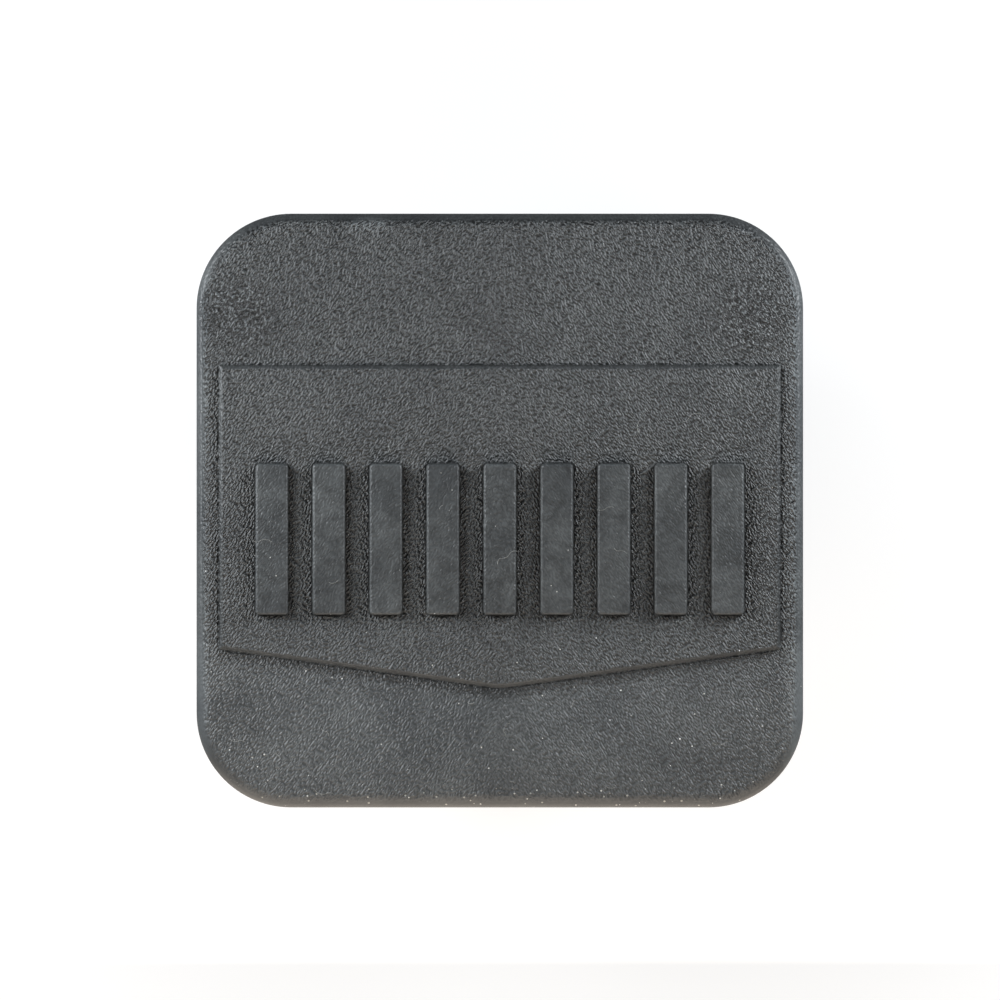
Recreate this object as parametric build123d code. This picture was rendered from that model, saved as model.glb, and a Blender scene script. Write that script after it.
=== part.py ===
from build123d import *
import math
import os

# Hitch receiver cover, moulded in one piece from black rubber. Sizes are in millimetres.
# The origin is on the plug's axis, in the plane where the flange seats on the receiver's mouth.
# +Z points out of the face and +Y to the face's upper edge. The plug hangs below, along -Z.

# Square receiver tube that the cover closes
receiver_bore = 50.8

# Flange: a thick plate with round corners and a rolled front rim
flange_width = 76.2
flange_height = 74.6
flange_thickness = 6.0
flange_corner_radius = 11.9
face_roll_radius = 1.9
back_edge_bevel = 0.4

# Raised panel: plumb sides, a level top edge and a shallow point below.
# Its margins are the strips of flat face left between it and the rolled rim.
panel_side_margin = 0.7
panel_top_margin = 17.0
panel_shoulder_margin = 17.8
panel_point_margin = 12.85
panel_relief = 0.5
panel_bevel_width = 0.5
panel_corner_radius = 0.5
panel_point_radius = 6.0

# Grip bars: a bank of like upright bars with smooth tops, set in from the panel's sides and top
bank_side_margin = 4.65
bank_top_margin = 12.3
bar_count = 9
bar_gap = 2.6
bar_height = 19.4
bar_relief = 0.8
bar_corner_radius = 0.7
bar_draft_deg = 8.0

# Plug: a hollow square sleeve with a flat rim; it is plumb, as soft rubber strips off its core
plug_depth = 32.0
plug_clearance = 1.9
plug_corner_radius = 5.0
plug_root_radius = 1.2
plug_lead_in = 1.0
plug_wall = 3.3
face_wall = 4.5
hollow_corner_radius = 2.0
hollow_floor_radius = 1.6
hollow_mouth_bevel = 0.5

# Sealing lips: rings round the sleeve, wider than the bore by the squeeze and rooted in its wall,
# spread evenly between the first lip's depth and the end margin above the rim
lip_count = 4
lip_first_depth = 6.2
lip_end_margin = 4.8
lip_squeeze = 0.5
lip_land = 0.8
lip_root = 0.8
lip_lead_deg = 50.0
lip_back_deg = 12.0

# Half sizes of the flat face inside the rolled rim, and the level that the bars stand on
face_half_width = flange_width / 2 - face_roll_radius
face_half_height = flange_height / 2 - face_roll_radius
panel_half_width = face_half_width - panel_side_margin
panel_top = face_half_height - panel_top_margin
panel_level = flange_thickness + panel_relief


def level_edges(shape, height):
    """The edges that lie wholly at one height."""
    return shape.edges().filter_by(
        lambda edge: all(abs(vertex.Z - height) < 0.001 for vertex in edge.vertices())
    )


def flange():
    """The plate, rolled over all round its face and bevelled at its back edge."""
    outline = RectangleRounded(flange_width, flange_height, flange_corner_radius)
    plate = extrude(outline, amount=flange_thickness)
    plate = fillet(level_edges(plate, flange_thickness), face_roll_radius)
    return chamfer(level_edges(plate, 0), back_edge_bevel)


def sleeve():
    """The plug's body, still solid, with a bevelled lead-in at its rim."""
    side = receiver_bore - 2 * plug_clearance
    outline = RectangleRounded(side, side, plug_corner_radius)
    body = extrude(outline, amount=-plug_depth)
    return chamfer(level_edges(body, -plug_depth), plug_lead_in)


def lip(depth):
    """One ring: a raked side that leads into the bore, a narrow land and a steep back."""
    reach = plug_clearance + lip_squeeze + lip_root
    span = receiver_bore + 2 * lip_squeeze
    tip = RectangleRounded(span, span, plug_corner_radius + plug_clearance + lip_squeeze)
    lead_height = reach / math.tan(math.radians(lip_lead_deg))
    back_height = reach * math.tan(math.radians(lip_back_deg))
    ring = extrude(tip, amount=-lip_land)
    ring += extrude(tip, amount=back_height, taper=90 - lip_back_deg)
    ring += extrude(Pos(0, 0, -lip_land) * tip, amount=-lead_height, taper=lip_lead_deg)
    return Pos(0, 0, -depth) * ring


def sealing_lips():
    """All the rings, from the one nearest the flange to the one nearest the rim."""
    last_depth = plug_depth - lip_end_margin
    pitch = (last_depth - lip_first_depth) / (lip_count - 1)
    return [lip(lip_first_depth + turn * pitch) for turn in range(lip_count)]


def hollow():
    """The space inside the plug, with a rounded floor behind the face."""
    floor_level = flange_thickness - face_wall
    side = receiver_bore - 2 * plug_clearance - 2 * plug_wall
    outline = Pos(0, 0, floor_level) * RectangleRounded(side, side, hollow_corner_radius)
    space = extrude(outline, amount=-(floor_level + plug_depth))
    return fillet(level_edges(space, floor_level), hollow_floor_radius)


def plugged_flange():
    """The flange with the sleeve rooted in its back, the lips round it and the hollow in it."""
    body = flange() + sleeve()
    root = level_edges(body, 0).filter_by(lambda edge: abs(edge.center().X) < receiver_bore / 2)
    root = root.filter_by(lambda edge: abs(edge.center().Y) < receiver_bore / 2)
    body = fillet(root, plug_root_radius)
    for ring in sealing_lips():
        body += ring
    body -= hollow()
    mouth = level_edges(body, -plug_depth).sort_by(lambda edge: edge.center().length)[:8]
    return chamfer(mouth, hollow_mouth_bevel)


def raised_panel():
    """The panel, bevelled all round by the slope of its sides."""
    shoulder = panel_shoulder_margin - face_half_height
    point = panel_point_margin - face_half_height
    outline = make_face(
        Polyline(
            (-panel_half_width, shoulder),
            (0, point),
            (panel_half_width, shoulder),
            (panel_half_width, panel_top),
            (-panel_half_width, panel_top),
            close=True,
        )
    )
    tip = outline.vertices().sort_by(Axis.Y)[0]
    outline = fillet(tip, panel_point_radius)
    ends = outline.vertices().filter_by(lambda vertex: abs(vertex.X) > panel_half_width - 0.001)
    outline = fillet(ends, panel_corner_radius)
    bevel_deg = math.degrees(math.atan2(panel_bevel_width, panel_relief))
    return extrude(Pos(0, 0, flange_thickness) * outline, amount=panel_relief, taper=bevel_deg)


def grip_bars():
    """The bank of bars, as wide as the gaps between them leave."""
    bank_width = 2 * (panel_half_width - bank_side_margin)
    bar_width = (bank_width - (bar_count - 1) * bar_gap) / bar_count
    centre_y = panel_top - bank_top_margin - bar_height / 2
    outline = RectangleRounded(bar_width, bar_height, bar_corner_radius)
    bar = extrude(outline, amount=bar_relief, taper=bar_draft_deg)
    spots = GridLocations(bar_width + bar_gap, bar_height, bar_count, 1)
    return [Pos(0, centre_y, panel_level) * spot * bar for spot in spots]


def receiver_cover():
    """The whole moulding."""
    cover = plugged_flange() + raised_panel()
    for bar in grip_bars():
        cover += bar
    return cover


os.makedirs("parts", exist_ok=True)
export_step(receiver_cover(), "parts/receiver_cover.step")
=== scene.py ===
import math
import random

import bmesh
import bpy
from mathutils import Matrix, Vector


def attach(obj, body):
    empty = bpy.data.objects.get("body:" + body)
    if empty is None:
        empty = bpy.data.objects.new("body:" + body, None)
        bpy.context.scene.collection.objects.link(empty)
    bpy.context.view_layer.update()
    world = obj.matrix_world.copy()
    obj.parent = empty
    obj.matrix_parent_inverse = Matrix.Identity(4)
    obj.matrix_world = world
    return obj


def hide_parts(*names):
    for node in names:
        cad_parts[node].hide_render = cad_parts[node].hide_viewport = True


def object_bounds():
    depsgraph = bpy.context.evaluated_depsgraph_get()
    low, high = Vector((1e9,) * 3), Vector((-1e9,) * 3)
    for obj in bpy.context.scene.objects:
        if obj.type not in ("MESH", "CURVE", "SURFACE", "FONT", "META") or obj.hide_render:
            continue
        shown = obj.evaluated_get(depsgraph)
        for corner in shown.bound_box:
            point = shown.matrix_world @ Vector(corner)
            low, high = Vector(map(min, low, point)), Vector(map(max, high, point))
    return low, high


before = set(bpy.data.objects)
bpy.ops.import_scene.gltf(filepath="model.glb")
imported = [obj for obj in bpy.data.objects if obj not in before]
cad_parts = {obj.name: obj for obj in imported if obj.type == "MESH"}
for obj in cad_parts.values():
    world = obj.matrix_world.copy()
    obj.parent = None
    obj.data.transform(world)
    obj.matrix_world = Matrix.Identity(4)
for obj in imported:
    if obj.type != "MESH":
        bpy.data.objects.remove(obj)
cad_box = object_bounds()

# FLANGE
# The real cover is one piece of black rubber, moulded in a two-part steel mould. This is its square
# flange: the face's mould half gives the rolled rim, and the flange's back seats on the receiver tube.
# All sizes of the moulding are in millimetres, and its mesh is turned to metres when it is whole.

flange_half_x = 38.1
flange_half_y = 37.3
flange_corner = 11.9
face_level = 6.0
face_roll = 1.9
back_bevel = 0.4
arris = 0.12
strip = 0.1
corner_steps = 28
least_segments = 3
segments_per_radian = 8
ring_seam = 0.002
rubber = bmesh.new()


def round_corner(outline, point, turn, rounding, segments):
    """Rounds one corner of an outline to a radius. The turn is the angle by which it turns there."""
    bmesh.ops.bevel(
        outline, geom=[point], offset=rounding * math.tan(turn / 2), offset_type="OFFSET",
        segments=segments, profile=0.5, affect="VERTICES", material=-1, clamp_overlap=False,
    )


def swept_ring(corners, centre_x, centre_y):
    """Draws a section and carries it round a rounded rectangle, with a quarter turn at each corner.

    Each corner of the section is its reach from the turn's centre, its level and its rounding."""
    ring = bmesh.new()
    start = Vector((centre_x, -centre_y, 0))
    points = [ring.verts.new(start + Vector((reach, 0, level))) for reach, level, _ in corners]
    for pair in zip(points, points[1:]):
        ring.edges.new(pair)
    for index, (point, (reach, level, rounding)) in enumerate(zip(points, corners)):
        if rounding:
            before = (corners[index - 1][0] - reach, corners[index - 1][1] - level)
            after = (corners[index + 1][0] - reach, corners[index + 1][1] - level)
            turn = math.pi - Vector(before).angle(Vector(after))
            segments = max(least_segments, math.ceil(turn * segments_per_radian * rounding ** 0.5))
            round_corner(ring, point, turn, rounding, segments)
    edges = list(ring.edges)
    for side_x, side_y in ((1, 1), (-1, 1), (-1, -1), (1, -1)):
        if side_x == side_y:
            run = Vector((0, 2 * centre_y * side_y, 0))
        else:
            run = Vector((-2 * centre_x * side_y, 0, 0))
        drawn = bmesh.ops.extrude_edge_only(ring, edges=edges)["geom"]
        far = [item for item in drawn if isinstance(item, bmesh.types.BMVert)]
        bmesh.ops.translate(ring, verts=far, vec=run)
        edges = [item for item in drawn if isinstance(item, bmesh.types.BMEdge)]
        turned = bmesh.ops.spin(
            ring, geom=far + edges, cent=(side_x * centre_x, side_y * centre_y, 0),
            axis=(0, 0, 1), angle=math.pi / 2, steps=corner_steps,
        )["geom_last"]
        edges = [item for item in turned if isinstance(item, bmesh.types.BMEdge)]
    bmesh.ops.remove_doubles(ring, verts=ring.verts, dist=ring_seam)
    return ring


def add_to_rubber(shape):
    """Adds a finished bit of surface to the moulding."""
    mesh = bpy.data.meshes.new("bit_of_surface")
    shape.to_mesh(mesh)
    shape.free()
    rubber.from_mesh(mesh)
    bpy.data.meshes.remove(mesh)


flange_x = flange_half_x - flange_corner
flange_y = flange_half_y - flange_corner
flange_section = (
    (flange_corner - 2 * back_bevel, 0, 0),
    (flange_corner - back_bevel, 0, arris),
    (flange_corner, back_bevel, arris),
    (flange_corner, face_level, face_roll),
    (flange_corner - face_roll - strip, face_level, 0),
)
add_to_rubber(swept_ring(flange_section, flange_x, flange_y))

# PLUG
# The hollow square plug behind the flange is the same moulding. Its four lips bend against the bore
# of the receiver tube and hold the cover by friction. Its hollow is left by the mould's steel core.

bore = 50.8
clearance = 1.9
plug_corner = 5.0
plug_root = 1.2
plug_depth = 32.0
lead_in = 1.0
rim_arris = 0.25
lip_depths = (6.2, 13.2, 20.2, 27.2)
lip_reach = clearance + 0.5
lip_land = 0.8
lip_back = lip_reach * math.tan(math.radians(12))
lip_lead = lip_reach / math.tan(math.radians(50))
lip_tip = 0.25
lip_root = 0.35
plug_wall = 3.3
hollow_half = bore / 2 - clearance - plug_wall
hollow_corner = 2.0
hollow_floor = 1.5
floor_round = 1.6
mouth_bevel = 0.5
level_slack = 1e-3

sleeve_section = [(plug_corner + plug_root + strip, 0, 0), (plug_corner, 0, plug_root)]
for lip_depth in lip_depths:
    sleeve_section += [
        (plug_corner, lip_back - lip_depth, lip_root),
        (plug_corner + lip_reach, -lip_depth, lip_tip),
        (plug_corner + lip_reach, -lip_depth - lip_land, lip_tip),
        (plug_corner, -lip_depth - lip_land - lip_lead, lip_root),
    ]
sleeve_section += [
    (plug_corner, lead_in - plug_depth, rim_arris),
    (plug_corner - lead_in, -plug_depth, rim_arris),
    (plug_corner - lead_in - 2 * rim_arris, -plug_depth, 0),
]
sleeve_centre = bore / 2 - clearance - plug_corner
add_to_rubber(swept_ring(sleeve_section, sleeve_centre, sleeve_centre))

hollow_section = (
    (hollow_corner + mouth_bevel + strip, -plug_depth, 0),
    (hollow_corner + mouth_bevel, -plug_depth, arris),
    (hollow_corner, mouth_bevel - plug_depth, arris),
    (hollow_corner, hollow_floor, floor_round),
    (hollow_corner - floor_round - strip, hollow_floor, 0),
)
hollow_centre = hollow_half - hollow_corner
add_to_rubber(swept_ring(hollow_section, hollow_centre, hollow_centre))


def open_edges(level):
    """The moulding's open edges that lie at one level."""
    return [
        edge for edge in rubber.edges
        if edge.is_boundary and all(abs(point.co.z - level) < level_slack for point in edge.verts)
    ]


for level in (0, -plug_depth, hollow_floor):
    bmesh.ops.triangle_fill(rubber, edges=open_edges(level), use_beauty=True, normal=(0, 0, -1))

# RAISED PANEL AND GRIP BARS
# Cut into the face's mould half, so they stand up from the face in the same rubber. The panel's
# sides slope all round. The bars have a light draft, polished tops and edges that are a little round.

panel_half = 35.5
panel_top = 18.5
panel_shoulder = -17.6
panel_point = -22.55
panel_relief = 0.5
panel_slope = math.radians(40)
point_round = 6.0
panel_arris = 0.16
bar_count = 9
bar_gap = 2.6
bar_height = 19.4
bar_relief = 0.8
bar_corner = 0.7
bar_draft = math.radians(8)
bar_arris = 0.2
bank_half = 30.85
bank_top_margin = 12.4
bar_width = (2 * bank_half - (bar_count - 1) * bar_gap) / bar_count
bar_centre = panel_top - bank_top_margin - bar_height / 2
bar_level = face_level + panel_relief
corner_segments = 6
edge_segments = 4
crease_width = 0.2
crease_depth = 0.08
above_foot = 0.01
top_arris = math.radians(25)
smooth_limit = math.radians(32)
face_seam = 1e-4


def raised_form(outline, corner_rounds, level, relief, slope, edge_round):
    """Stands a form on its outline: a crease round its foot, sides that lean in and a level top.

    The top's edge is rounded. A corner whose rounding is nought stays sharp in the outline, and its
    hip is rounded as the edge is."""
    form = bmesh.new()
    points = [form.verts.new((x, y, level)) for x, y in outline]
    form.faces.new(points)
    for point, rounding in zip(points, corner_rounds):
        if rounding:
            turn = math.pi - point.link_loops[0].calc_angle()
            round_corner(form, point, turn, rounding, corner_segments)
    top = form.faces[:][0]
    bmesh.ops.inset_region(
        form, faces=[top], thickness=crease_width, depth=-crease_depth,
        use_even_offset=True, use_boundary=True,
    )
    rise = relief + crease_depth
    bmesh.ops.inset_region(
        form, faces=[top], thickness=rise * math.tan(slope), depth=rise,
        use_even_offset=True, use_boundary=True,
    )
    edges = [
        edge for edge in form.edges
        if edge.calc_face_angle(0) > top_arris and edge.is_convex
        and max(point.co.z for point in edge.verts) > level + above_foot
    ]
    bmesh.ops.bevel(
        form, geom=edges, offset=edge_round, offset_type="OFFSET", segments=edge_segments,
        profile=0.5, affect="EDGES", material=-1, clamp_overlap=False,
    )
    top = max(form.faces, key=lambda face: face.calc_area())
    bmesh.ops.inset_region(
        form, faces=[top], thickness=strip, use_even_offset=True, use_boundary=True,
    )
    return form, top


panel_outline = (
    (-panel_half, panel_shoulder), (0, panel_point), (panel_half, panel_shoulder),
    (panel_half, panel_top), (-panel_half, panel_top),
)
panel_rounds = (0, point_round, 0, 0, 0)
panel, panel_face = raised_form(
    panel_outline, panel_rounds, face_level, panel_relief, panel_slope, panel_arris
)
bmesh.ops.delete(panel, geom=[panel_face], context="FACES_ONLY")
add_to_rubber(panel)
bmesh.ops.triangle_fill(rubber, edges=open_edges(face_level), use_beauty=True, normal=(0, 0, 1))

for number in range(bar_count):
    centre = (number - (bar_count - 1) / 2) * (bar_width + bar_gap)
    left, right = centre - bar_width / 2, centre + bar_width / 2
    low, high = bar_centre - bar_height / 2, bar_centre + bar_height / 2
    bar_outline = ((left, low), (right, low), (right, high), (left, high))
    bar, _ = raised_form(bar_outline, 4 * (bar_corner,), bar_level, bar_relief, bar_draft, bar_arris)
    add_to_rubber(bar)
bmesh.ops.triangle_fill(rubber, edges=open_edges(bar_level), use_beauty=True, normal=(0, 0, 1))

bmesh.ops.remove_doubles(rubber, verts=rubber.verts, dist=face_seam)
bmesh.ops.recalc_face_normals(rubber, faces=rubber.faces)
for face in rubber.faces:
    face.smooth = True
for edge in rubber.edges:
    edge.smooth = edge.calc_face_angle(0) < smooth_limit
bmesh.ops.scale(rubber, vec=(0.001, 0.001, 0.001), verts=rubber.verts)


def make_object(name, shape):
    """Turns a finished shape into an object of the scene."""
    mesh = bpy.data.meshes.new(name)
    shape.to_mesh(mesh)
    shape.free()
    made = bpy.data.objects.new(name, mesh)
    bpy.context.scene.collection.objects.link(made)
    return made


moulding = make_object("moulded_cover", rubber)

# RUBBER
# Carbon-black EPDM, compression moulded against a spark-eroded steel face, so it is a satin charcoal
# with a fine leathery grain. The bar tops were polished in the mould and show only faint swirls.
# From here on sizes are in metres.


def linear(code):
    """An sRGB hex colour as the linear colour that a shader takes."""
    shares = [int(code[start:start + 2], 16) / 255 for start in (0, 2, 4)]
    return [
        share / 12.92 if share <= 0.04045 else ((share + 0.055) / 1.055) ** 2.4 for share in shares
    ] + [1]


def new_material(name):
    """A material with an empty node tree."""
    made = bpy.data.materials.new(name)
    made.use_nodes = True
    made.node_tree.nodes.clear()
    return made


def add_node(tree, kind, inputs, **settings):
    """Adds a node with its settings, and gives each named input a value or another node's output."""
    made = tree.nodes.new(kind)
    for name, value in settings.items():
        setattr(made, name, value)
    for name, value in inputs.items():
        if isinstance(value, bpy.types.NodeSocket):
            tree.links.new(value, made.inputs[name])
        else:
            made.inputs[name].default_value = value
    return made


grain_size = 0.00021
ridge_length = 2.0
grain_plane = 0.00025
grain_height = 0.00055
swell_size = 0.0009
pit_size = 0.00042
mottle_size = 1 / 120
cloud_size = 1 / 90
swirl_size = 1 / 260
face_z = face_level / 1000
panel_z = bar_level / 1000
edge_lean = (panel_shoulder - panel_point) / panel_half
edge_tip = panel_point / 1000 - 0.00005
slope_middle = (face_z + panel_z) / 2
worn_low = -0.024
worn_high = -0.012
blend_half = 0.008
rough_spots = ((0.0312, 0.0244, face_z), (-0.0325, 0.0246, face_z))
rim_inside = 0.0352
scuff_centre = (-0.0163, 0.0358, face_z)
scuff_squeeze = (0.35, 1.0, 1.0)
rubber_material = new_material("moulded_epdm_rubber")
tree = rubber_material.node_tree
place = add_node(tree, "ShaderNodeTexCoord", {}).outputs["Object"]
spot = add_node(tree, "ShaderNodeSeparateXYZ", {"Vector": place})
at_x, at_y, at_z = (spot.outputs[axis] for axis in "XYZ")
outwards = add_node(tree, "ShaderNodeMath", {0: at_x}, operation="ABSOLUTE").outputs["Value"]

# How deep the grain is. It is faint on the polished bar tops, weak on the roll, the hidden sides and
# the panel's slopes, worn below the panel, and stronger above it and to the right. The two leaning
# grains weaken each other where they meet, so the middle of the face gets more
polish = add_node(tree, "ShaderNodeMapRange", {
    "Value": at_z, "From Min": panel_z + 0.0001, "From Max": panel_z + 0.0004,
    "To Min": 1.0, "To Max": 0.16,
}).outputs["Result"]
clouds = add_node(tree, "ShaderNodeTexNoise", {
    "Vector": place, "Scale": 1 / cloud_size, "Detail": 2.0,
}).outputs["Fac"]
on_slope = add_node(tree, "ShaderNodeMath", {
    0: at_z, 1: slope_middle, 2: 0.00023,
}, operation="COMPARE").outputs["Value"]
meeting_gain = add_node(tree, "ShaderNodeMapRange", {
    "Value": at_y, "From Min": worn_low, "From Max": worn_high, "To Min": 1.0, "To Max": 1.7,
}).outputs["Result"]
depth = polish
for source, start, end, first, last in (
    (at_z, face_z - 0.0004, face_z - 0.00001, 0.15, 1.0),
    (at_y, worn_low, worn_high, 0.42, 1.0),
    (at_y, 0.012, 0.024, 1.0, 1.25),
    (at_x, 0.005, 0.025, 1.0, 1.2),
    (clouds, 0.35, 0.65, 0.93, 1.07),
    (on_slope, 0.0, 1.0, 1.0, 0.25),
    (outwards, 0.0, blend_half, meeting_gain, 1.0),
):
    share = add_node(tree, "ShaderNodeMapRange", {
        "Value": source, "From Min": start, "From Max": end, "To Min": first, "To Max": last,
    })
    depth = add_node(tree, "ShaderNodeMath", {
        0: depth, 1: share.outputs["Result"],
    }, operation="MULTIPLY").outputs["Value"]

# At two spots near the sides the mould's steel was rough, and the grain is coarse and pitted. The same
# pit map paints shade into the pits and a highlight onto the crumbs between them
pit_noise = add_node(tree, "ShaderNodeTexNoise", {
    "Vector": place, "Scale": 1 / pit_size, "Detail": 1.0,
})
pit_shape = add_node(tree, "ShaderNodeMapRange", {
    "Value": pit_noise.outputs["Fac"], "From Min": 0.46, "From Max": 0.54, "To Min": 0.0, "To Max": 2.2,
}).outputs["Result"]
pits_and_painted_pit_shade = 1.0
for rough_spot in rough_spots:
    away = add_node(tree, "ShaderNodeVectorMath", {
        0: place, 1: rough_spot,
    }, operation="DISTANCE").outputs["Value"]
    coarse = add_node(tree, "ShaderNodeMapRange", {
        "Value": away, "From Min": 0.002, "From Max": 0.006, "To Min": 1.5, "To Max": 1.0,
    })
    depth = add_node(tree, "ShaderNodeMath", {
        0: depth, 1: coarse.outputs["Result"],
    }, operation="MULTIPLY").outputs["Value"]
    pitted = add_node(tree, "ShaderNodeMapRange", {
        "Value": away, "From Min": 0.003, "From Max": 0.0054, "To Min": pit_shape, "To Max": 1.0,
    })
    pits_and_painted_pit_shade = add_node(tree, "ShaderNodeMath", {
        0: pits_and_painted_pit_shade, 1: pitted.outputs["Result"],
    }, operation="MULTIPLY").outputs["Value"]

# The grain's ridges lean to the left on one half of the face and to the right on the other. The real
# crackle goes down to 0.15 mm, which the render would blur away, so it is drawn at 0.21 mm. The noise
# is evenest on its own planes, so they are spaced to fall on the face and on the panel
half = add_node(tree, "ShaderNodeMapRange", {
    "Value": at_x, "From Min": -blend_half, "From Max": blend_half,
}, interpolation_type="SMOOTHSTEP")
grains = []
for lean in (-35, 35):
    leaning = add_node(tree, "ShaderNodeMapping", {
        "Vector": place, "Rotation": (0, 0, math.radians(lean)),
        "Scale": (1, ridge_length, grain_plane / grain_size),
    }, vector_type="TEXTURE")
    grains.append(add_node(tree, "ShaderNodeTexNoise", {
        "Vector": leaning.outputs["Vector"], "Scale": 1 / grain_size, "Detail": 0.0, "Distortion": 0.15,
    }).outputs["Fac"])
grain = add_node(tree, "ShaderNodeMix", {
    "Factor": half.outputs["Result"], "A": grains[0], "B": grains[1],
}, data_type="FLOAT").outputs["Result"]
swell = add_node(tree, "ShaderNodeTexNoise", {
    "Vector": place, "Scale": 1 / swell_size, "Detail": 1.0,
})
skin = add_node(tree, "ShaderNodeMath", {
    0: swell.outputs["Fac"], 1: 0.15, 2: grain,
}, operation="MULTIPLY_ADD")
rise = add_node(tree, "ShaderNodeMath", {
    0: skin.outputs["Value"], 1: depth, 2: pits_and_painted_pit_shade,
}, operation="MULTIPLY_ADD")
bump = add_node(tree, "ShaderNodeBump", {
    "Height": rise.outputs["Value"], "Strength": 1.0, "Distance": grain_height,
})

# The rubber's charcoal is mottled. All that makes it darker or paler, own tone and painted light alike,
# is gathered in one list: first painted shade in the grain's pits and a painted highlight on its crests
mottle = add_node(tree, "ShaderNodeTexNoise", {
    "Vector": place, "Scale": 1 / mottle_size, "Detail": 4.0, "Roughness": 0.6,
})
stain = add_node(tree, "ShaderNodeMapRange", {
    "Value": mottle.outputs["Fac"], "From Min": 0.35, "From Max": 0.65,
})
charcoal = add_node(tree, "ShaderNodeMix", {
    "Factor": stain.outputs["Result"], "A": linear("36393b"), "B": linear("474a4b"),
}, data_type="RGBA").outputs["Result"]
crest = add_node(tree, "ShaderNodeMapRange", {
    "Value": grain, "From Min": 0.42, "From Max": 0.58, "To Min": -1.0, "To Max": 1.0,
})
cavity = add_node(tree, "ShaderNodeMath", {
    0: crest.outputs["Result"], 1: depth,
}, operation="MULTIPLY")
pit_shade_and_crest_highlight = add_node(tree, "ShaderNodeMapRange", {
    "Value": cavity.outputs["Value"], "From Min": -1.0, "From Max": 1.0, "To Min": 0.1, "To Max": 1.9,
})
tones = [pit_shade_and_crest_highlight.outputs["Result"]]

# Wiping has left swirls on the bar tops, and the face is greyer below the panel's two lower edges
swirl = add_node(tree, "ShaderNodeTexNoise", {
    "Vector": place, "Scale": 1 / swirl_size, "Detail": 6.0, "Roughness": 0.7, "Distortion": 2.0,
})
wiped = add_node(tree, "ShaderNodeMapRange", {
    "Value": swirl.outputs["Fac"], "From Min": 0.3, "From Max": 0.7, "To Min": 0.72, "To Max": 2.4,
})
edge_y = add_node(tree, "ShaderNodeMath", {
    0: outwards, 1: edge_lean, 2: edge_tip,
}, operation="MULTIPLY_ADD")
below = add_node(tree, "ShaderNodeMath", {
    0: edge_y.outputs["Value"], 1: at_y,
}, operation="SUBTRACT").outputs["Value"]
greyed = add_node(tree, "ShaderNodeMapRange", {
    "Value": below, "From Min": -0.003, "From Max": 0.002, "To Min": 0.94, "To Max": 1.36,
})
# Swirls on the bar tops, and the face paler below the panel's two lower edges
swirl_and_lower_tone = add_node(tree, "ShaderNodeMix", {
    "Factor": polish, "A": wiped.outputs["Result"], "B": greyed.outputs["Result"],
}, data_type="FLOAT")
# The rough spots' pit map also paints shade into the pits and a highlight onto the crumbs
tones += [swirl_and_lower_tone.outputs["Result"], pits_and_painted_pit_shade]

# Painted shade: a darker line along the foot of the panel's slopes and of each bar's sides, though not
# along the panel's two lower edges
inner = add_node(tree, "ShaderNodeMath", {0: below, 1: -0.0009}, operation="LESS_THAN")
for foot, fade in ((face_z + 0.00001, 0.00024), (panel_z + 0.00001, 0.00049)):
    above = add_node(tree, "ShaderNodeMath", {0: at_z, 1: foot}, operation="GREATER_THAN")
    painted_foot_shade = add_node(tree, "ShaderNodeMapRange", {
        "Value": at_z, "From Min": foot, "From Max": foot + fade, "To Min": 1.0, "To Max": 0.0,
    }).outputs["Result"]
    for mask in (above, inner):
        painted_foot_shade = add_node(tree, "ShaderNodeMath", {
            0: painted_foot_shade, 1: mask.outputs["Value"],
        }, operation="MULTIPLY").outputs["Value"]
    tones.append(add_node(tree, "ShaderNodeMath", {0: 1.0, 1: painted_foot_shade}, operation="SUBTRACT").outputs["Value"])

# Below the panel's two lower edges a ragged band of painted shadow lies on the face, and those edges'
# slopes get a painted highlight. The sides of the rim get a painted highlight too
ragged = add_node(tree, "ShaderNodeMath", {
    0: grain, 1: 0.002, 2: below,
}, operation="MULTIPLY_ADD")
# Painted shadow: the ragged band below the panel's two lower edges, kept off the panel and the rim
band = add_node(tree, "ShaderNodeMapRange", {
    "Value": ragged.outputs["Value"], "From Min": 0.0016, "From Max": 0.0023, "To Min": 0.35, "To Max": 1.0,
})
on_panel = add_node(tree, "ShaderNodeMath", {0: below, 1: -0.0002}, operation="LESS_THAN")
on_rim = add_node(tree, "ShaderNodeMath", {0: outwards, 1: rim_inside}, operation="GREATER_THAN")
painted_shadow_band = band.outputs["Result"]
for free in (on_panel, on_rim):
    painted_shadow_band = add_node(tree, "ShaderNodeMath", {
        0: painted_shadow_band, 1: free.outputs["Value"],
    }, operation="MAXIMUM").outputs["Value"]
# Painted highlight on the slopes of the panel's two lower edges
on_edge = add_node(tree, "ShaderNodeMath", {
    0: below, 1: -0.00045, 2: 0.0003,
}, operation="COMPARE")
painted_edge_highlight = add_node(tree, "ShaderNodeMapRange", {
    "Value": on_edge.outputs["Value"], "To Min": 1.0, "To Max": 1.12,
})
# Painted highlight on the rolled rim at the left and right sides
painted_rim_highlight = add_node(tree, "ShaderNodeMapRange", {
    "Value": outwards, "From Min": 0.0361, "From Max": 0.0369, "To Min": 1.0, "To Max": 1.5,
})
tones += [painted_rim_highlight.outputs["Result"], painted_shadow_band, painted_edge_highlight.outputs["Result"]]

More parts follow.
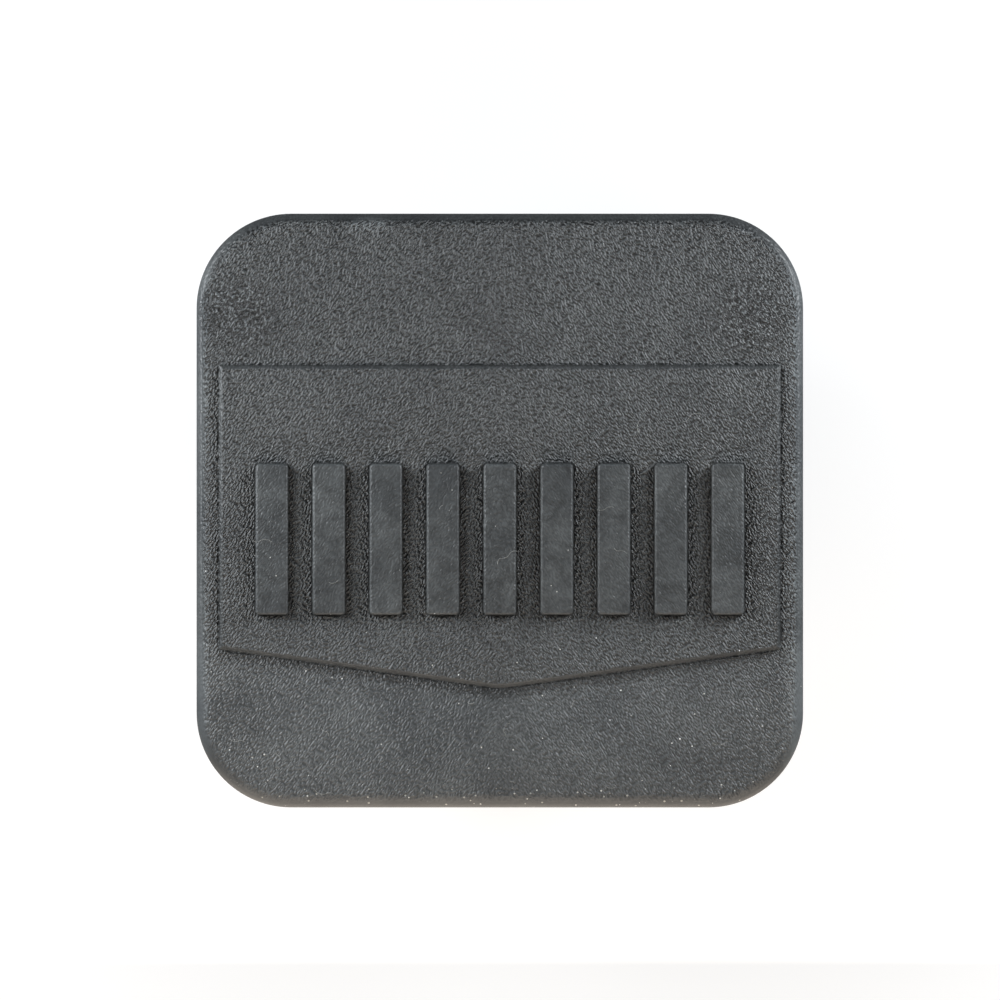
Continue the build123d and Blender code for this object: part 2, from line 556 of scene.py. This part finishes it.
# Painted light brightens the strip right of the panel and the rim and side beyond it. The face is
# paler at the lower left and a little darker at the lower right, and the panel darker about its lower
# middle
painted_right_light = add_node(tree, "ShaderNodeMapRange", {
    "Value": at_x, "From Min": 0.0354, "From Max": 0.0357, "To Min": 1.0, "To Max": 1.35,
})
tones.append(painted_right_light.outputs["Result"])
for patch_centre, patch_reach, patch_tone in (
    ((-0.024, -0.0275, face_z), 0.016, 1.16),
    ((0.001, -0.015, panel_z), 0.012, 0.87),
    ((0.026, -0.0285, face_z), 0.012, 0.96),
):
    away = add_node(tree, "ShaderNodeVectorMath", {0: place, 1: patch_centre}, operation="DISTANCE")
    tones.append(add_node(tree, "ShaderNodeMapRange", {
        "Value": away.outputs["Value"], "From Min": 0.003, "From Max": patch_reach,
        "To Min": patch_tone, "To Max": 1.0,
    }).outputs["Result"])

# A pale scuff on the upper roll, left of the middle, three times as long as it is wide
from_scuff = add_node(tree, "ShaderNodeVectorMath", {
    0: place, 1: scuff_centre,
}, operation="SUBTRACT")
squeezed = add_node(tree, "ShaderNodeVectorMath", {
    0: from_scuff.outputs["Vector"], 1: scuff_squeeze,
}, operation="MULTIPLY")
away = add_node(tree, "ShaderNodeVectorMath", {0: squeezed.outputs["Vector"]}, operation="LENGTH")
tones.append(add_node(tree, "ShaderNodeMapRange", {
    "Value": away.outputs["Value"], "From Min": 0.0002, "From Max": 0.0013, "To Min": 2.4, "To Max": 1.0,
}).outputs["Result"])

all_tones = tones[0]
for tone in tones[1:]:
    all_tones = add_node(tree, "ShaderNodeMath", {
        0: all_tones, 1: tone,
    }, operation="MULTIPLY").outputs["Value"]
# The charcoal with its own tone and the painted shade and highlights, then the dust
painted_light_and_dust = add_node(tree, "ShaderNodeVectorMath", {
    0: charcoal, "Scale": all_tones,
}, operation="SCALE").outputs["Vector"]

# Pale dust, up to 0.3 mm across: more of it low down, most at the lower edge, and little on the upright
# sides. A mote's reach is a share of the motes' pitch
lies_level = add_node(tree, "ShaderNodeMapRange", {
    "Value": at_z, "From Min": 0.0035, "From Max": 0.0052, "To Min": 0.35, "To Max": 1.0,
}).outputs["Result"]
for mote_pitch, high, low, least, most, code in (
    (0.0017, 0.02, -0.035, 0.02, 0.065, "f2f2ee"),
    (0.0011, 0.02, -0.035, 0.025, 0.055, "8f918f"),
    (0.0011, -0.0335, -0.0362, 0.03, 0.13, "bcbcb6"),
):
    drift = add_node(tree, "ShaderNodeVectorMath", {0: place, 1: (0.0, 0.0, most)}, operation="ADD")
    motes = add_node(tree, "ShaderNodeTexVoronoi", {
        "Vector": drift.outputs["Vector"], "Scale": 1 / mote_pitch,
    })
    reach = add_node(tree, "ShaderNodeMapRange", {
        "Value": at_y, "From Min": high, "From Max": low, "To Min": least, "To Max": most,
    })
    level_reach = add_node(tree, "ShaderNodeMath", {
        0: reach.outputs["Result"], 1: lies_level,
    }, operation="MULTIPLY")
    mote = add_node(tree, "ShaderNodeMath", {
        0: motes.outputs["Distance"], 1: level_reach.outputs["Value"],
    }, operation="LESS_THAN")
    painted_light_and_dust = add_node(tree, "ShaderNodeMix", {
        "Factor": mote.outputs["Value"], "A": painted_light_and_dust, "B": linear(code),
    }, data_type="RGBA").outputs["Result"]

surface = add_node(tree, "ShaderNodeBsdfPrincipled", {
    "Base Color": painted_light_and_dust, "Roughness": 0.5, "IOR": 1.5, "Specular IOR Level": 1.0,
    "Normal": bump.outputs["Normal"],
})
add_node(tree, "ShaderNodeOutputMaterial", {"Surface": surface.outputs["BSDF"]})
moulding.data.materials.append(rubber_material)
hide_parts("receiver_cover")
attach(moulding, "root")

# LINT
# A few cotton fibres that the rubber's static charge holds on the face, each a curled hair a twentieth
# of a millimetre thick that lies on the face, the panel or a bar.

lint_radius = 0.000022
lint_lift = lint_radius * 0.8
lint_sides = 5
tone_length = 1 / 1500
lint_shape = bmesh.new()
random.seed(11)
places = [(random.uniform(-34, 34), random.uniform(-35, -22), face_level) for _ in range(16)]
places += [(random.uniform(-33, 33), random.uniform(20, 34), face_level) for _ in range(5)]
places += [(random.uniform(-33, 33), random.uniform(7.5, 17), bar_level) for _ in range(5)]
places += [
    (
        (random.randrange(bar_count) - (bar_count - 1) / 2) * (bar_width + bar_gap),
        random.uniform(-11, 4), bar_level + bar_relief,
    )
    for _ in range(7)
]
for x, y, ground in places:
    start = Matrix.Translation((x / 1000, y / 1000, ground / 1000 + lint_lift))
    start = start @ Matrix.Rotation(random.uniform(0, math.tau), 4, "Z")
    end = bmesh.ops.create_circle(
        lint_shape, cap_ends=True, radius=lint_radius, segments=lint_sides,
        matrix=start @ Matrix.Rotation(math.pi / 2, 4, "X"),
    )["verts"]
    drawn = list({face for point in end for face in point.link_faces})
    side = 1
    for _ in range(random.choice((1, 2, 2))):
        bend = random.uniform(0.0003, 0.0012)
        points = [point.co for face in drawn for point in face.verts]
        middle = sum(points, Vector()) / len(points)
        along = start.to_3x3() @ Vector((0, 1, 0))
        if drawn[0].normal.length:
            along = drawn[0].normal.copy()
        centre = middle + side * bend * along.cross(Vector((0, 0, 1))).normalized()
        drawn = [
            item for item in bmesh.ops.spin(
                lint_shape, geom=drawn, cent=centre, axis=(0, 0, 1),
                angle=side * random.uniform(0.7, 1.8), steps=8,
            )["geom_last"] if isinstance(item, bmesh.types.BMFace)
        ]
        side = -side
bmesh.ops.recalc_face_normals(lint_shape, faces=lint_shape.faces)
for face in lint_shape.faces:
    face.smooth = len(face.verts) == 4
lint = make_object("cotton_lint", lint_shape)
cotton = new_material("loose_cotton_fibre")
tree = cotton.node_tree
place = add_node(tree, "ShaderNodeTexCoord", {}).outputs["Object"]
wear = add_node(tree, "ShaderNodeTexNoise", {
    "Vector": place, "Scale": 1 / tone_length, "Detail": 1.0,
})
fibre = add_node(tree, "ShaderNodeMix", {
    "Factor": wear.outputs["Fac"], "A": linear("8e908e"), "B": linear("d2d2ce"),
}, data_type="RGBA")
surface = add_node(tree, "ShaderNodeBsdfPrincipled", {
    "Base Color": fibre.outputs["Result"], "Roughness": 0.9,
})
add_node(tree, "ShaderNodeOutputMaterial", {"Surface": surface.outputs["BSDF"]})
lint.data.materials.append(cotton)
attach(lint, "root")

# FLOOR, LIGHT AND CAMERA
# A sheet of white paper just under the plug's rim, seen only from above, so that the underside can be
# looked at over a light table. A low softbox at each side rakes the face, and a warm card and the pale
# table light its lower edge. The camera looks straight down on the face.

floor_half = 1.5
floor_gap = 0.00005
floor_level = cad_box[0][2] - floor_gap
floor_shape = bmesh.new()
bmesh.ops.create_grid(floor_shape, x_segments=1, y_segments=1, size=floor_half)
bmesh.ops.translate(floor_shape, verts=floor_shape.verts, vec=(0, 0, floor_level))
floor = make_object("floor", floor_shape)
paper = new_material("pale_paper")
tree = paper.node_tree
rays = add_node(tree, "ShaderNodeLightPath", {})
place = add_node(tree, "ShaderNodeTexCoord", {}).outputs["Object"]
from_plug = add_node(tree, "ShaderNodeVectorMath", {0: place}, operation="LENGTH")
fade = add_node(tree, "ShaderNodeMapRange", {
    "Value": from_plug.outputs["Value"], "From Min": 0.06, "From Max": 0.17, "To Min": 0.62, "To Max": 1.0,
}, interpolation_type="SMOOTHSTEP")
matt = add_node(tree, "ShaderNodeBsdfDiffuse", {"Color": linear("808080")})
pale = add_node(tree, "ShaderNodeBsdfDiffuse", {"Color": linear("b8b8b8")})
glow = add_node(tree, "ShaderNodeEmission", {
    "Color": (1, 1, 1, 1), "Strength": fade.outputs["Result"],
})
shown = add_node(tree, "ShaderNodeAddShader", {0: pale.outputs["BSDF"], 1: glow.outputs["Emission"]})
seen = add_node(tree, "ShaderNodeMixShader", {
    0: rays.outputs["Is Camera Ray"], 1: matt.outputs["BSDF"], 2: shown.outputs["Shader"],
})
facing = add_node(tree, "ShaderNodeNewGeometry", {})
see_through = add_node(tree, "ShaderNodeMath", {
    0: facing.outputs["Backfacing"], 1: rays.outputs["Is Shadow Ray"],
}, operation="MAXIMUM")
clear_sheet = add_node(tree, "ShaderNodeBsdfTransparent", {})
sheet = add_node(tree, "ShaderNodeMixShader", {
    0: see_through.outputs["Value"], 1: seen.outputs["Shader"], 2: clear_sheet.outputs["BSDF"],
})
add_node(tree, "ShaderNodeOutputMaterial", {"Surface": sheet.outputs["Shader"]})
floor.data.materials.append(paper)

face_centre = Vector((0, 0, face_z))


def add_softbox(name, bearing, height, distance, wide, tall, power, colour):
    """An area lamp that faces the object's face from a bearing and a height, both in degrees."""
    lamp = bpy.data.lights.new(name, "AREA")
    lamp.shape = "RECTANGLE"
    lamp.size = wide
    lamp.size_y = tall
    lamp.energy = power
    lamp.color = linear(colour)[:3]
    made = bpy.data.objects.new(name, lamp)
    turn, rise = math.radians(bearing), math.radians(height)
    way = Vector((math.cos(turn) * math.cos(rise), math.sin(turn) * math.cos(rise), math.sin(rise)))
    made.location = face_centre + way * distance
    made.rotation_euler = way.to_track_quat("Z", "Y").to_euler()
    made.visible_camera = False
    bpy.context.scene.collection.objects.link(made)


add_softbox("left_softbox", 159, 22, 0.16, 0.08, 0.08, 0.24, "f6fbff")
add_softbox("right_softbox", 28, 18, 0.16, 0.08, 0.08, 0.215, "f6fbff")
add_softbox("warm_card", 270, 30, 0.16, 0.2, 0.1, 0.13, "fff4e8")
add_softbox("pale_table", 270, -15, 0.067, 0.16, 0.04, 0.03, "fff0e0")
add_softbox("light_table", 270, -89.9, 0.3, 0.3, 0.3, 0.63, "f6fbff")

surround = bpy.data.worlds.new("surround")
surround.use_nodes = True
tree = surround.node_tree
tree.nodes.clear()
rays = add_node(tree, "ShaderNodeLightPath", {})
white = add_node(tree, "ShaderNodeBackground", {"Color": (1, 1, 1, 1), "Strength": 1.0})
dim = add_node(tree, "ShaderNodeBackground", {"Color": (1, 1, 1, 1), "Strength": 0.04})
sky = add_node(tree, "ShaderNodeMixShader", {
    0: rays.outputs["Is Camera Ray"], 1: dim.outputs["Background"], 2: white.outputs["Background"],
})
add_node(tree, "ShaderNodeOutputWorld", {"Surface": sky.outputs["Shader"]})
bpy.context.scene.world = surround

photo_width_px = 1000
cover_centre_px = (499.84, 510.55)
px_per_mm = 7.96
camera_height = 1.0
widest_level = 0.0041
lens = bpy.data.cameras.new("camera")
lens.sensor_width = 36
lens.sensor_fit = "HORIZONTAL"
lens.lens = lens.sensor_width * camera_height / (photo_width_px / px_per_mm / 1000)
camera = bpy.data.objects.new("camera", lens)
camera.location = (
    (photo_width_px / 2 - cover_centre_px[0]) / px_per_mm / 1000,
    (cover_centre_px[1] - photo_width_px / 2) / px_per_mm / 1000,
    camera_height + widest_level,
)
bpy.context.scene.collection.objects.link(camera)
bpy.context.scene.camera = camera
bpy.context.scene.view_settings.view_transform = "Standard"
